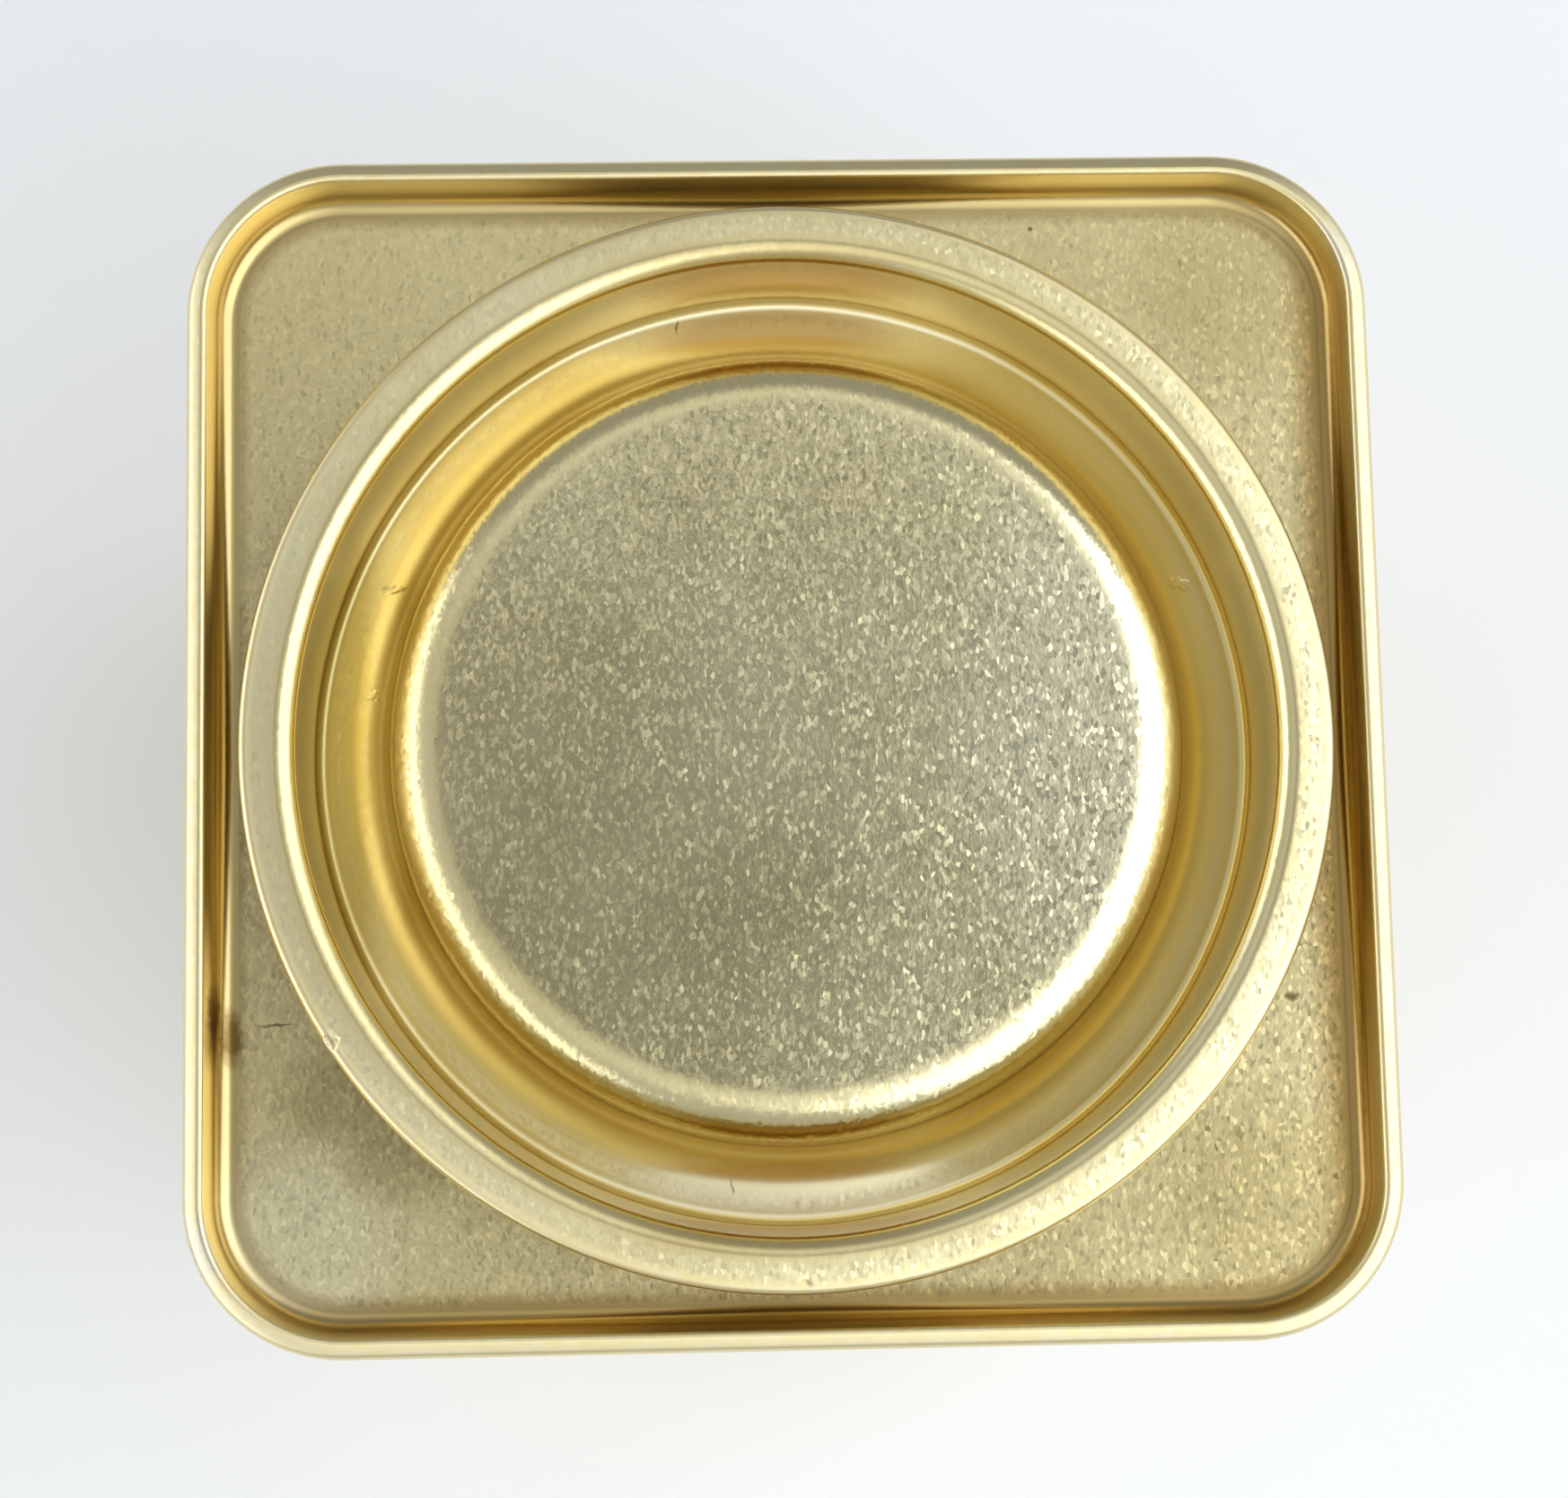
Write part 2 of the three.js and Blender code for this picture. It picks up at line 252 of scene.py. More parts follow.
def gold_lacquered_tinplate(name, grain_axis, deep, pale, thin, stains_and_painted_light, dents):
    """Stone-finish tinplate under a clear gold lacquer.

    The sheet is rolled by ground rolls, so its face is a fine pebbled grain along the rolling
    direction, which glints where a pebble faces a light and looks paler than the sheet that a
    tool has drawn smooth and satin. Edges are rubbed to a paler gold, folds get a painted shade,
    and handling thins the lacquer. grain_axis is the axis of rolling, deep and pale are the
    lacquer on smooth and on grained sheet, thin is the (centre, reach) of a thinned patch, the
    marks are (centre, reach, share, colour), real ones and patches of painted shade and light,
    and dents (centre, reach, depth), all in millimetres.
    """
    material = bpy.data.materials.new(name)
    material.use_nodes = True
    tree = material.node_tree
    tree.nodes.clear()
    place = add_node(tree, "TexCoord", {}).outputs["Object"]
    normal = add_node(tree, "NewGeometry", {}).outputs["Normal"]
    grain_left = add_node(tree, "Attribute", {}, attribute_name="grain").outputs["Fac"]
    gloss = add_node(tree, "Attribute", {}, attribute_name="rough").outputs["Fac"]
    wear_and_shade = add_node(tree, "Attribute", {}, attribute_name="wear_and_shade").outputs["Fac"]

    # The real grain is about 0.1 mm wide; it is drawn coarser so that it shows. Each pebble
    # leans its own way, a few of them far and most of them hardly.
    grain_width, grain_length, grain_depth = 0.23, 0.4, 0.02
    lean_across, lean_along = 0.19, 0.1
    stretch = [1 / (grain_width * millimetre)] * 3
    stretch[grain_axis] = 1 / (grain_length * millimetre)
    along_grain = add_node(tree, "Mapping", {"Vector": place, "Scale": stretch}).outputs[0]
    ripple = add_node(tree, "TexNoise", {"Vector": along_grain, "Scale": 1.0, "Detail": 2.0})
    bump = add_node(tree, "Bump", {"Height": ripple.outputs["Fac"], "Strength": grain_left,
                                   "Distance": grain_depth * millimetre})
    steepest = [lean_across] * 3
    steepest[grain_axis] = lean_along
    pebbles = add_node(tree, "TexVoronoi", {"Vector": along_grain, "Scale": 1.0})
    lean = add_node(tree, "VectorMath", {0: pebbles.outputs["Color"], 1: (2, 2, 2),
                                         2: (-1, -1, -1)}, operation="MULTIPLY_ADD").outputs[0]
    few = add_node(tree, "VectorMath", {0: lean, 1: lean}, operation="MULTIPLY").outputs[0]
    lean = add_node(tree, "VectorMath", {0: lean, 1: few}, operation="MULTIPLY").outputs[0]
    lean = add_node(tree, "VectorMath", {0: lean, 1: steepest}, operation="MULTIPLY").outputs[0]
    lean = add_node(tree, "VectorMath", {0: lean, "Scale": grain_left}, operation="SCALE")
    faced = add_node(tree, "VectorMath", {0: bump.outputs[0], 1: lean.outputs[0]}, operation="ADD")
    bump = add_node(tree, "VectorMath", {0: faced.outputs[0]}, operation="NORMALIZE")

    # The edge of a mark is torn by a fine noise, while a wide dent stays smooth.
    tear_size, tear_reach, smooth_from = 0.6, 0.7, 3.0
    tears = add_node(tree, "TexNoise", {"Vector": place, "Scale": 1 / (tear_size * millimetre),
                                        "Detail": 2.0})
    torn = add_node(tree, "VectorMath", {0: tears.outputs["Color"],
                                         1: [tear_reach * millimetre] * 3,
                                         2: [-tear_reach / 2 * millimetre] * 3},
                    operation="MULTIPLY_ADD")
    torn = add_node(tree, "VectorMath", {0: place, 1: torn.outputs[0]}, operation="ADD")
    ragged = torn.outputs[0]
    for centre, reach, depth in dents:
        spread = place if reach[0] > smooth_from else ragged
        bump = add_node(tree, "Bump", {"Height": spot(tree, spread, centre, reach),
                                       "Distance": -depth * millimetre,
                                       "Normal": bump.outputs[0]})

    # Flat sheet scatters light across its grain, a drawn wall along its ring.
    drawn_below = 0.2
    upright = add_node(tree, "SeparateXYZ", {"Vector": normal}).outputs["Z"]
    upright = add_node(tree, "Math", {0: upright}, operation="ABSOLUTE")
    flat = add_node(tree, "Math", {0: upright.outputs[0], 1: grain_left}, operation="MULTIPLY")
    flat = add_node(tree, "Math", {0: flat.outputs[0], 1: drawn_below}, operation="GREATER_THAN")
    round_wall = add_node(tree, "VectorMath", {0: normal, 1: (0, 0, 1)}, operation="CROSS_PRODUCT")
    scatter = add_node(tree, "Mix", {0: flat.outputs[0], 4: round_wall.outputs[0], 5: (1, 0, 0)},
                       data_type="VECTOR")

    # The coat varies in broad clouds, and is darker in the pits between pebbles.
    cloud_size, cloud_change, pit_share = 14.0, 0.35, 0.25
    clouds = add_node(tree, "TexNoise", {"Vector": place, "Scale": 1 / (cloud_size * millimetre),
                                         "Detail": 2.0})
    coat = add_node(tree, "MapRange", {"Value": clouds.outputs["Fac"], "To Min": -cloud_change,
                                       "To Max": cloud_change})
    coat = add_node(tree, "Math", {0: coat.outputs[0], 1: grain_left}, operation="ADD",
                    use_clamp=True)
    colour = add_node(tree, "Mix", {0: coat.outputs[0], 6: linear(deep), 7: linear(pale)},
                      data_type="RGBA")
    pit = add_node(tree, "SeparateColor", {"Color": pebbles.outputs["Color"]}).outputs["Red"]
    pit = add_node(tree, "MapRange", {"Value": pit, "To Min": pit_share, "To Max": 0.0})
    pit = add_node(tree, "Math", {0: pit.outputs[0], 1: grain_left}, operation="MULTIPLY")
    colour = add_node(tree, "Mix", {0: pit.outputs[0], 6: colour.outputs[2],
                                    7: linear("#a4915a")}, data_type="RGBA")
    thinned = add_node(tree, "Math", {0: spot(tree, place, *thin), 1: clouds.outputs["Fac"]},
                       operation="MULTIPLY")
    colour = add_node(tree, "Mix", {0: thinned.outputs[0], 6: colour.outputs[2],
                                    7: linear("#e5dcb2")}, data_type="RGBA")
    # Mixes in every mark given: real ones, and patches of painted shade and painted light.
    for centre, reach, share, stain_or_shade_colour in stains_and_painted_light:
        mark = add_node(tree, "Math", {0: spot(tree, ragged, centre, reach), 1: share},
                        operation="MULTIPLY")
        colour = add_node(tree, "Mix", {0: mark.outputs[0], 6: colour.outputs[2],
                                        7: linear(stain_or_shade_colour)}, data_type="RGBA")

    # Painted shade, a darker gold, lies where the wear value is below 0, as in the panel's fold,
    # and rubbing breaks through in small patches above it.
    painted_shade_share, rub_size, rub_from, rub_full = 0.8, 0.9, 0.8, 1.3
    painted_shade = add_node(tree, "Math", {0: wear_and_shade, 1: -painted_shade_share}, operation="MULTIPLY",
                     use_clamp=True)
    colour = add_node(tree, "Mix", {0: painted_shade.outputs[0], 6: colour.outputs[2],
                                    7: linear("#a08044")}, data_type="RGBA")
    rubs = add_node(tree, "TexNoise", {"Vector": place, "Scale": 1 / (rub_size * millimetre),
                                       "Detail": 4.0, "Roughness": 0.7})
    wear = add_node(tree, "Math", {0: rubs.outputs["Fac"], 1: wear_and_shade}, operation="ADD")
    wear = add_node(tree, "MapRange", {"Value": wear.outputs[0], "From Min": rub_from,
                                       "From Max": rub_full})
    colour = add_node(tree, "Mix", {0: wear.outputs[0], 6: colour.outputs[2],
                                    7: linear("#e4d8b2")}, data_type="RGBA")
    haze_change = 0.03
    haze = add_node(tree, "MapRange", {"Value": clouds.outputs["Fac"], "To Min": -haze_change,
                                       "To Max": haze_change})
    rough = add_node(tree, "Math", {0: gloss, 1: haze.outputs[0]}, operation="ADD")
    metal = add_node(tree, "BsdfPrincipled", {"Base Color": colour.outputs[2], "Metallic": 1.0,
                                              "Roughness": rough.outputs[0], "Anisotropic": 0.7,
                                              "Tangent": scatter.outputs[1],
                                              "Normal": bump.outputs[0]})
    add_node(tree, "OutputMaterial", {"Surface": metal.outputs[0]})
    return material


smooth_gold = "#e3d094"
side_gold = "#e6d8a3"
side_thinned = ((0, -38.2, 62), (60, 30, 80))
body_stains = [
    # Hairline scuffs, paler than the lacquer.
    ((21.0, -38.2, 96), (0.25, 2, 4.0), 0.5, "#f1ead2"),
    ((22.4, -38.2, 92), (0.2, 2, 2.2), 0.5, "#f1ead2"),
    ((-24.0, -38.2, 31), (3.0, 2, 0.25), 0.5, "#f1ead2"),
    ((38.2, 12.0, 70), (2, 0.25, 3.5), 0.5, "#f1ead2"),
    ((-38.2, -8.0, 84), (2, 2.4, 0.25), 0.5, "#f1ead2"),
    ((14.0, 38.2, 40), (0.25, 2, 3.0), 0.5, "#f1ead2"),
    # Specks of rust.
    ((-12.0, -38.2, 78), (0.5, 2, 0.5), 0.7, "#8a6f3c"),
    ((38.2, -20.0, 25), (2, 0.6, 0.5), 0.7, "#8a6f3c"),
]
body_dents = [
    ((-17.0, -38.2, 44), (5, 3, 4), 0.2),
    ((38.2, 19.0, 88), (3, 4, 5), 0.2),
]
body.data.materials.append(gold_lacquered_tinplate(
    "gold_lacquered_tinplate_body", 2, smooth_gold, side_gold, side_thinned,
    body_stains, body_dents))
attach(body, "tin")
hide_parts("body_wall")

# Bottom end: a pressed tinplate panel, lacquered gold, hooked round the foot of the body and
# rolled flat as a double seam. Its panel is sunk above the foot and stiffened by a step.
panel_depth = 3.3
panel_wall_lean = 0.6
panel_bend = 1.3
foot_step_inset = 5.0
foot_step_rise = 0.8
crown_inner_bend = 0.25
crown_outer_bend = 0.6
end_facet = 10
panel_wall_at = -(body_plate + seam_gap + end_plate / 2)
outer_wall_at = body_hook_at + body_plate / 2 + seam_gap + end_plate / 2
end_hook_bend = (outer_wall_at - end_hook_at - body_plate) / 2
end_hook_tip = body_fold_depth + body_plate / 2 + hook_relief
panel_at = panel_depth + end_plate / 2
panel_foot = panel_wall_at - panel_wall_lean
fillet_end = panel_foot - 1.15 * panel_bend
# End of the painted shade on the panel beside its fold.
painted_shade_end = panel_foot - 1.6 * panel_bend
handled_edge = 0.5
knocked_edge = 0.6
# Painted shade of the rim wall in the panel's fold and beside it, given as wear values below 0.
painted_fold_shade = -0.55
painted_panel_shade = -0.5
end_seam_corners = [
    (end_hook_at, end_hook_tip, 0, burnished, 0),
    (end_hook_at, seam_height - end_plate / 2, end_hook_bend, burnished, 0),
    (outer_wall_at, seam_height - end_plate / 2, end_hook_bend, rubbed, handled_edge),
    (outer_wall_at, end_plate / 2 + crown_fall, crown_outer_bend, rubbed, knocked_edge),
    (panel_wall_at, end_plate / 2, crown_inner_bend, rubbed, handled_edge),
    # The panel's fold and the strip beside it take a painted shade.
    (panel_foot, panel_at, panel_bend, burnished, painted_fold_shade),
    (fillet_end, panel_at, 0, as_rolled, painted_panel_shade),
    (painted_shade_end, panel_at, 0, as_rolled, 0),
]
step_at = panel_foot - foot_step_inset
step_top = panel_at + foot_step_rise
bottom_corners = end_seam_corners + [
    (step_at + foot_step_rise, panel_at, 0, as_rolled, 0),
    (step_at, panel_at, foot_step_rise, strained, 0),
    (step_at - foot_step_rise, step_top, foot_step_rise, strained, 0),
    (step_at - 2 * foot_step_rise, step_top, 0, as_rolled, 0),
    (step_at - 4 * foot_step_rise, step_top, 0, as_rolled, 0),
]
end_stops = [side_half * share / 8 for share in range(-7, 8)]
line = bent_line(bottom_corners, end_facet)
loop = sheet_loop(line, end_plate)
loop = loop[len(line):] + loop[:len(line)]
rings = [square_ring(place.real, place.imag, end_stops) for place, _, _ in loop]
bottom = formed_piece("seamed_bottom", rings, [marks for _, *marks in loop], capped=True)
panel_gold = "#f0e3b0"
panel_thinned = ((0, 0, 4.2), (28, 28, 3))
end_stains_and_painted_light = [
    # Painted shade in the two right corners of the top's panel, and a painted highlight in its
    # front left corner.
    ((31, -31, 111.7), (10, 10, 2), 0.5, "#c2ad70"),
    ((31, 31, 111.7), (10, 10, 2), 0.4, "#c2ad70"),
    ((-32, -32, 111.7), (9, 9, 2), 0.6, "#faf0c4"),
    # Painted shadow of the rim, tan, along the right and front walls of the panel.
    ((36.8, 0, 111.7), (3.6, 70, 1.2), 0.75, "#a9843f"),
    ((0, -36.8, 111.7), (70, 2.4, 1.2), 0.5, "#a9843f"),
    # Painted dark reflection as dull patches on the panel at the front left, and brown smears on
    # the wall there.
    ((-29.5, -22.5, 111.7), (5.0, 4.0, 2.0), 0.4, "#94834c"),
    ((-25.5, -26.5, 111.7), (5.0, 4.0, 2.0), 0.4, "#94834c"),
    ((-37.2, -17.0, 113.0), (0.7, 2.6, 1.6), 0.9, "#50351a"),
    ((-36.3, -18.6, 111.9), (1.0, 2.6, 0.8), 0.9, "#50351a"),
    # A hairline scratch and two specks.
    ((-33.4, -17.8, 111.7), (1.6, 0.14, 0.5), 0.7, "#5a4426"),
    ((17.1, 34.9, 111.7), (0.3, 0.3, 0.5), 0.8, "#5a4a30"),
    ((32.8, -17.1, 111.7), (0.6, 0.5, 0.5), 0.8, "#6b4a20"),
    # Corners of the crown, knocked through to grey tin.
    ((36.8, 31.9, 114.8), (2.5, 3.5, 0.8), 0.7, "#c3c0b8"),
    ((-37.6, -32.0, 114.8), (2.0, 3.5, 0.8), 0.7, "#c3c0b8"),
]
end_lacquer = gold_lacquered_tinplate("gold_lacquered_tinplate_end", 1, smooth_gold, panel_gold,
                                      panel_thinned, end_stains_and_painted_light, [])
bottom.data.materials.append(end_lacquer)
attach(bottom, "tin")
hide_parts("bottom_end")

# Seam linings: a bead of rubbery compound, flowed wet into the curl of each end and dried
# there. It lies in the fold of the body's hook and seals the seam.
lining_top = body_fold_depth + body_plate / 2 + seam_gap
lining_foot = end_hook_tip - seam_gap
lining_section = [(seam_gap, lining_top), (seam_gap + end_plate, lining_top),
                  (seam_gap + end_plate, lining_foot), (seam_gap, lining_foot)]

# Dried latex compound, flowed on: matt, warm grey and faintly uneven.
lining_rubber = bpy.data.materials.new("dried_latex_compound")
lining_rubber.use_nodes = True
tree = lining_rubber.node_tree
tree.nodes.clear()
place = add_node(tree, "TexCoord", {}).outputs["Object"]
flow_size, flow_depth = 1.5, 0.02
flow = add_node(tree, "TexNoise", {"Vector": place, "Scale": 1 / (flow_size * millimetre),
                                   "Detail": 3.0})
shade = add_node(tree, "Mix", {0: flow.outputs["Fac"], 6: linear("#7d7869"),
                               7: linear("#989281")}, data_type="RGBA")
skin_bump = add_node(tree, "Bump", {"Height": flow.outputs["Fac"],
                                    "Distance": flow_depth * millimetre})
rubber = add_node(tree, "BsdfPrincipled", {"Base Color": shade.outputs[2], "Roughness": 0.75,
                                           "Normal": skin_bump.outputs[0]})
add_node(tree, "OutputMaterial", {"Surface": rubber.outputs[0]})


def seam_lining(name, node, crown_height, upwards):
    """One lining, set a depth below the crown of its seam."""
    rings = [square_ring(across, crown_height + upwards * depth, end_stops)
             for across, depth in lining_section]
    lining = formed_piece(name, rings, [(as_rolled, 0)] * len(rings))
    lining.data.materials.append(lining_rubber)
    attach(lining, "tin")
    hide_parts(node)


seam_lining("bottom_lining", "bottom_seam_lining", 0, 1)
seam_lining("top_lining", "top_seam_lining", tin_height, -1)

# Top end: a pressed panel like the bottom's, seamed to the body in the same way. Its round
# mouth is drawn up as a bead, and turned down inside as a neck with a rolled foot.
flange_gap = 1.6
bead_gap = 0.8
bead_width = 1.5
bead_foot = 0.5
neck_depth = 7.5
neck_roll_width = 1.0
neck_roll_lip = 0.8
lid_plate = 0.25
lid_above_crown = 1.1
lid_seat_gap = 0.2
roll_lip = 0.9
flange_radius = body_width / 2 + panel_foot - end_plate / 2 - flange_gap
bead_radius = flange_radius - roll_lip - bead_gap
mouth_radius = bead_radius - bead_width
bead_bend = (bead_width - 2 * end_plate) / 2
neck_roll_bend = (neck_roll_width - end_plate) / 2
bead_crest = lid_plate + lid_seat_gap - lid_above_crown + end_plate / 2
bead_side = bead_radius - end_plate / 2
neck_wall = mouth_radius + end_plate / 2
neck_foot = neck_depth - end_plate / 2
neck_roll = neck_wall + neck_roll_width
panel_shares = (0.25, 0.5, 0.75)
rim_loop = sheet_loop(bent_line(end_seam_corners, end_facet), end_plate)
mouth_loop = sheet_loop(bent_line([
    (bead_radius + bead_foot, panel_at, 0, as_rolled, 0),
    (bead_side, panel_at, bead_foot, burnished, 0),
    (bead_side, bead_crest, bead_bend, burnished, 0.2),
    (neck_wall, bead_crest, bead_bend, burnished, 0.3),
    (neck_wall, neck_foot, neck_roll_bend, burnished, 0.1),
    (neck_roll, neck_foot, neck_roll_bend, burnished, 0),
    (neck_roll, neck_foot - neck_roll_lip, 0, burnished, 0),
], end_facet), end_plate)
ring_points = 4 * (corner_steps + 1 + len(end_stops))


def round_ring(radius, up, count, first=0.0):
    """Ring of points round the axis of the tin."""
    angles = [first + 2 * math.pi * k / count for k in range(count)]
    return [Vector((radius * math.cos(a), radius * math.sin(a), up)) for a in angles]


def between(start, end):
    """Rings spread over the flat panel between its square rim and its round mouth."""
    return [[a.lerp(b, share) for a, b in zip(start, end)] for share in panel_shares]


# The mouth's first point is turned so that its points face those of the square rim.
mouth_first = math.pi / 4 - corner_steps / 2 * 2 * math.pi / ring_points
rim_rings = [square_ring(place.real, tin_height - place.imag, end_stops)
             for place, _, _ in rim_loop]
mouth_rings = [round_ring(place.real, tin_height - place.imag, ring_points, mouth_first)
               for place, _, _ in mouth_loop]
rim_marks = [marks for _, *marks in rim_loop]
mouth_marks = [marks for _, *marks in mouth_loop]
flat_marks = [(as_rolled, 0)] * len(panel_shares)
half_rim = len(rim_rings) // 2
top_rings = (rim_rings[:half_rim] + between(rim_rings[half_rim - 1], mouth_rings[0]) + mouth_rings
             + between(mouth_rings[-1], rim_rings[half_rim]) + rim_rings[half_rim:])
top_marks = rim_marks[:half_rim] + flat_marks + mouth_marks + flat_marks + rim_marks[half_rim:]
top = formed_piece("seamed_top", top_rings, top_marks)
top.data.materials.append(end_lacquer)
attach(top, "tin")
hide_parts("top_end")

# Lid: a round plug pressed from one disc of lacquered tinplate, with a raised disc, a deep
# channel round it, and a flange whose edge is rolled under. It is pushed into the neck by hand.
plug_gap = 0.15
plug_depth = 9.0
plug_taper = 0.6
channel_width = 6.27
channel_rise = 0.9
channel_outer_bend = 0.8
channel_inner_bend = 3.6
disc_drop = 1.3
disc_lean = 0.7
disc_edge_bend = 3.3
disc_flat_inset = 3.4
disc_first_ring = 4
flange_fall = 0.3
flange_bend = 1.15
shoulder_width = 1.7
brim_width = 0.9
roll_depth = 1.0
roll_top_bend = 0.45
roll_foot_bend = 0.14
inside_box = 0.01
plug_radius = mouth_radius - plug_gap
disc_radius = plug_radius - lid_plate - channel_width
flange_at = tin_height + lid_above_crown - lid_plate / 2 - inside_box
disc_at = flange_at - disc_drop
foot_at = flange_at - plug_depth
plug_wall = plug_radius - lid_plate / 2
roll_at = flange_radius - lid_plate / 2
roll_foot = flange_at - flange_fall - roll_depth + lid_plate
disc_foot = disc_radius + disc_lean
plug_foot = plug_wall - plug_taper
crease_at = 0.3 * disc_foot + 0.7 * plug_foot
shoulder_at = flange_at - 0.5 * flange_fall
brim_at = flange_at - 0.72 * flange_fall
edge_at = flange_at - 1.15 * flange_fall
disc_face = (0.62, 0.23)
shoulder_face = (0.42, 0.24)
creased_face = (0.05, 0.42)
turned_face = (0.15, 0.30)
flange_face = (0.6, 0.28)
lid_facet = 6
lid_steps = 240
lid_line = bent_line([
    (disc_first_ring, disc_at, 0, disc_face, 0),
    (disc_radius - disc_flat_inset, disc_at, 0, disc_face, 0),
    (disc_radius, disc_at, disc_edge_bend, shoulder_face, 0.1),
    (disc_foot, foot_at + channel_rise, channel_inner_bend, burnished, 0),
    (crease_at, foot_at + 0.3 * channel_rise, 0, strained, 0),
    (plug_foot, foot_at, channel_outer_bend, creased_face, 0),
    (plug_wall, flange_at, flange_bend, turned_face, 0.25),
    (plug_wall + shoulder_width, shoulder_at, 0, flange_face, 0),
    (roll_at - brim_width, brim_at, 0, flange_face, 0),
    (roll_at, edge_at, roll_top_bend, rubbed, handled_edge),
    (roll_at, roll_foot, roll_foot_bend, burnished, 0.2),
    (flange_radius - roll_lip, roll_foot, 0, burnished, 0),
], lid_facet)
loop = sheet_loop(lid_line, lid_plate)
rings = [round_ring(place.real, place.imag, lid_steps) for place, _, _ in loop]
lid = formed_piece("press_in_lid", rings, [marks for _, *marks in loop], capped=True)
disc_gold = "#ede4b8"
disc_thinned = ((10, -6, 114.7), (34, 34, 6))
lid_stains_and_painted_light = [
    # Painted shade at the left of the disc and a painted highlight at its right.
    ((-11, -13, 114.8), (20, 16, 3), 0.35, "#b5a876"),
    ((19, 1, 114.8), (11, 20, 3), 0.5, "#fbf3d2"),
    # Painted shade and gold-on-gold reflection, browning the plug wall at back and front.
    ((0, 31.9, 112), (28, 2.5, 5), 0.8, "#b98d38"),
    ((0, -31.9, 112), (28, 2.5, 5), 0.85, "#b98d38"),
    # Channel: painted shade on the floor and a painted highlight on the bend at the left, painted
    # light on the floor at back and front.
    ((-29.3, 0, 107.4), (4.5, 24, 1.4), 0.7, "#b8a458"),
    ((-26.9, 0, 109.5), (2.4, 22, 3.2), 0.9, "#fff3c4"),
    ((0, 28.8, 107.4), (23, 5, 1.3), 0.95, "#f3e7bc"),
    ((0, -28.8, 107.4), (23, 5, 1.3), 0.95, "#f3e7bc"),
    # Grime in two nicks of the flange, and two scratches in the channel.
    ((-29.5, -19.0, 115.8), (0.4, 0.6, 0.8), 0.7, "#6a5730"),
    ((0.7, -34.8, 115.8), (0.4, 0.3, 0.8), 0.6, "#6a5730"),
    ((-6.8, 29.6, 107.4), (0.12, 0.7, 0.8), 0.7, "#7a5a28"),
    ((-4.0, -28.6, 107.4), (0.12, 0.7, 0.8), 0.7, "#7a5a28"),
]
lid_dents = [
    # The channel's floor is flattened at back and front, so these two stand up.
    ((0, 34.5, 107.3), (26, 8, 4), -0.36),
    ((0, -34.5, 107.3), (26, 8, 4), -0.36),
    # Knocks in the channel and in the flange.
    ((-26.2, 11.5, 108.2), (1.0, 0.5, 1.5), 0.06),
    ((-27.5, 4.2, 108.2), (0.9, 0.4, 1.5), 0.05),
    ((27.1, 11.2, 107.6), (1.0, 0.5, 1.5), 0.06),
    ((-29.5, -19.0, 115.8), (0.7, 0.7, 0.8), 0.08),
]
lid.data.materials.append(gold_lacquered_tinplate(
    "gold_lacquered_tinplate_lid", 1, smooth_gold, disc_gold, disc_thinned,
    lid_stains_and_painted_light, lid_dents))
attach(lid, "lid")
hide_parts("plug_lid")

# Stage: a plain pale floor under the tin, a broad sheet of paper laid flat.
floor_half = 6.0
floor_mesh = bpy.data.meshes.new("pale_floor")
floor_mesh.from_pydata([(-floor_half, -floor_half, 0), (floor_half, -floor_half, 0),
                        (floor_half, floor_half, 0), (-floor_half, floor_half, 0)],
                       [], [(0, 1, 2, 3)])
floor = bpy.data.objects.new("pale_floor", floor_mesh)
bpy.context.scene.collection.objects.link(floor)

# Matt paper, pulled from a roll: off-white without gloss, its tone hardly uneven.
floor_paper = bpy.data.materials.new("matt_paper_sweep")
floor_paper.use_nodes = True
tree = floor_paper.node_tree
tree.nodes.clear()
place = add_node(tree, "TexCoord", {}).outputs["Object"]
tone_size = 60.0
tone = add_node(tree, "TexNoise", {"Vector": place, "Scale": 1 / (tone_size * millimetre),
                                   "Detail": 3.0})
shade = add_node(tree, "Mix", {0: tone.outputs["Fac"], 6: linear("#e4e3e0"),
                               7: linear("#e8e7e4")}, data_type="RGBA")
paper = add_node(tree, "BsdfPrincipled", {"Base Color": shade.outputs[2], "Roughness": 0.9})
add_node(tree, "OutputMaterial", {"Surface": paper.outputs[0]})
floor_mesh.materials.append(floor_paper)

# Light: a pale, cool studio dome with a dark patch overhead, brighter strips before and behind
# it and dimmer walls at the back, and two softboxes of the same brightness, a tall one at the
# right and a low one at the left.
world = bpy.data.worlds.new("pale_studio")
bpy.context.scene.world = world
world.use_nodes = True
tree = world.node_tree
tree.nodes.clear()
way = add_node(tree, "TexCoord", {}).outputs["Generated"]
toward = add_node(tree, "SeparateXYZ", {"Vector": way}).outputs
front_strip = add_node(tree, "MapRange", {"Value": toward["Y"], "From Min": -0.08,
                                          "From Max": -0.26})
back_strip = add_node(tree, "MapRange", {"Value": toward["Y"], "From Min": 0.26,
                                         "From Max": 0.42, "To Max": 0.7})
strips = add_node(tree, "Math", {0: front_strip.outputs[0], 1: back_strip.outputs[0]},
                  operation="MAXIMUM")
ceiling = add_node(tree, "Mix", {0: strips.outputs[0], 6: linear("#cbcfd3"),
                                 7: linear("#eef2f6")}, data_type="RGBA")
at_back = add_node(tree, "MapRange", {"Value": toward["Y"], "From Min": 0.0, "From Max": 0.6})
walls = add_node(tree, "Mix", {0: at_back.outputs[0], 6: linear("#bcc0c4"),
                               7: linear("#a0a4a8")}, data_type="RGBA")
overhead = add_node(tree, "MapRange", {"Value": toward["Z"], "From Min": 0.66,
                                       "From Max": 0.85})
room = add_node(tree, "Mix", {0: overhead.outputs[0], 6: walls.outputs[2],
                              7: ceiling.outputs[2]}, data_type="RGBA")
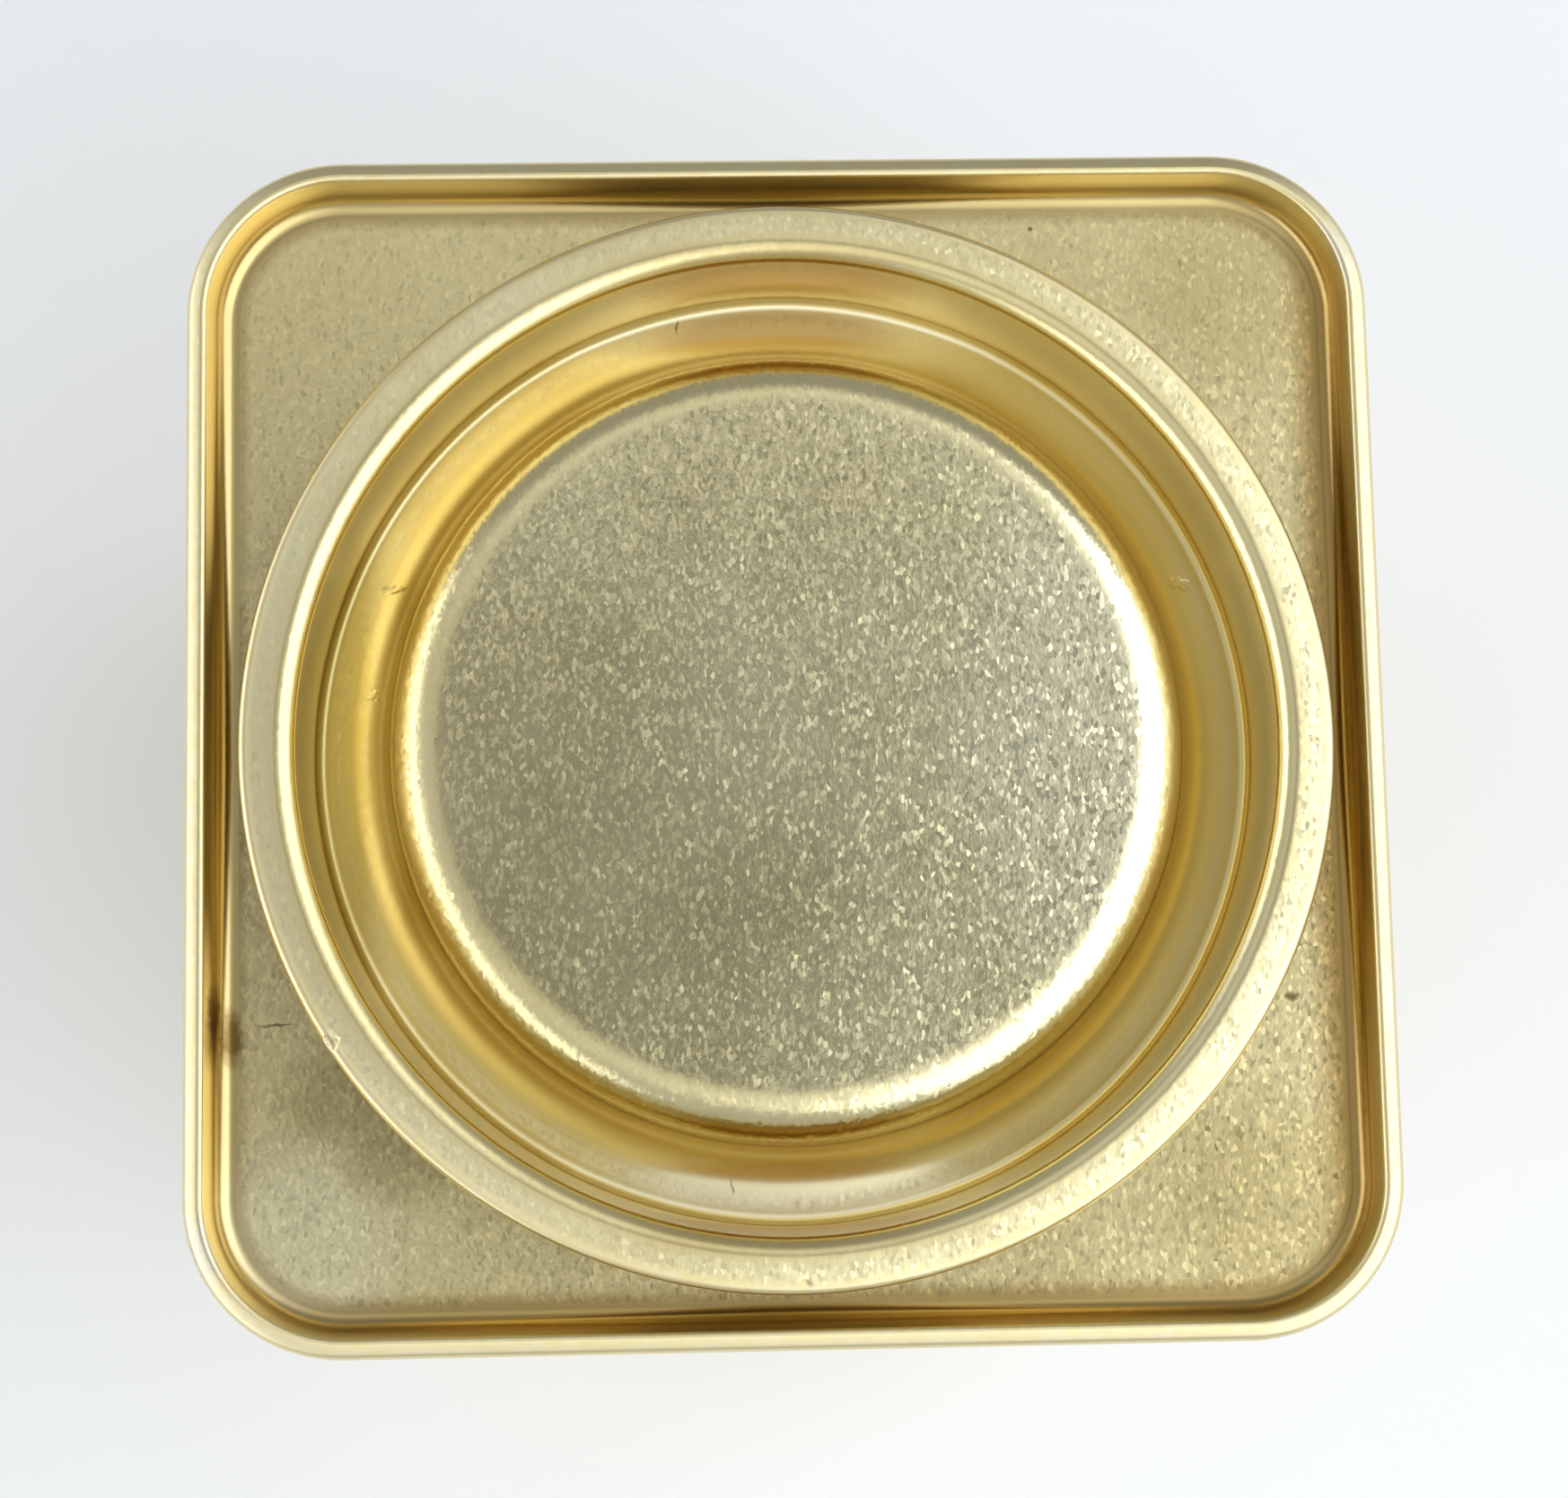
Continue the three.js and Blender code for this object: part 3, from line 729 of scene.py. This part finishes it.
# The patch's place and reach are in thousandths of a direction of length 1.
patch_way, patch_reach = (-20, 95, 997), (170, 175, 500)
patch = add_node(tree, "MapRange", {"Value": spot(tree, way, patch_way, patch_reach),
                                    "From Max": 0.55})
dome = add_node(tree, "Mix", {0: patch.outputs[0], 6: room.outputs[2], 7: linear("#141618")},
                data_type="RGBA")
sky = add_node(tree, "Background", {"Color": dome.outputs[2], "Strength": 1.0})
add_node(tree, "OutputWorld", {"Surface": sky.outputs[0]})


def softbox(name, off_zenith, azimuth, distance, high, wide, radiance):
    """A softbox that faces the tin's top, from an angle off the zenith and one from +X."""
    lamp = bpy.data.lights.new(name, "AREA")
    lamp.shape = "RECTANGLE"
    lamp.size = wide
    lamp.size_y = high
    lamp.energy = math.pi * wide * high * radiance
    lamp.color = linear("#f0f5ff")[:3]
    box = bpy.data.objects.new(name, lamp)
    tilt, turn = math.radians(off_zenith), math.radians(azimuth)
    way = Vector((math.sin(tilt) * math.cos(turn), math.sin(tilt) * math.sin(turn),
                  math.cos(tilt)))
    box.location = way * distance + Vector((0, 0, tin_height * millimetre))
    box.rotation_euler = way.to_track_quat("Z", "Y").to_euler()
    box.visible_camera = False
    bpy.context.scene.collection.objects.link(box)


softbox("right_softbox", off_zenith=52.5, azimuth=-15, distance=0.8, high=1.02, wide=1.6,
        radiance=2.0)
softbox("left_softbox", off_zenith=70, azimuth=192, distance=0.8, high=0.5, wide=1.5,
        radiance=2.0)

# Camera: held almost straight above the tin, where its place, tilt and focal length bring the
# top's edges to where the photograph has them.
image_width = 1747
focal_pixels = 3400
camera_data = bpy.data.cameras.new("overhead_camera")
camera_data.sensor_width = 36.0
camera_data.lens = camera_data.sensor_width * focal_pixels / image_width
camera_data.clip_start = 0.01
camera = bpy.data.objects.new("overhead_camera", camera_data)
camera.location = (-0.006608, -0.025599, 0.310919)
camera.rotation_euler = [math.radians(angle) for angle in (7.2887, -1.7031, -1.1028)]
bpy.context.scene.collection.objects.link(camera)
bpy.context.scene.camera = camera
bpy.context.scene.view_settings.view_transform = "Standard"
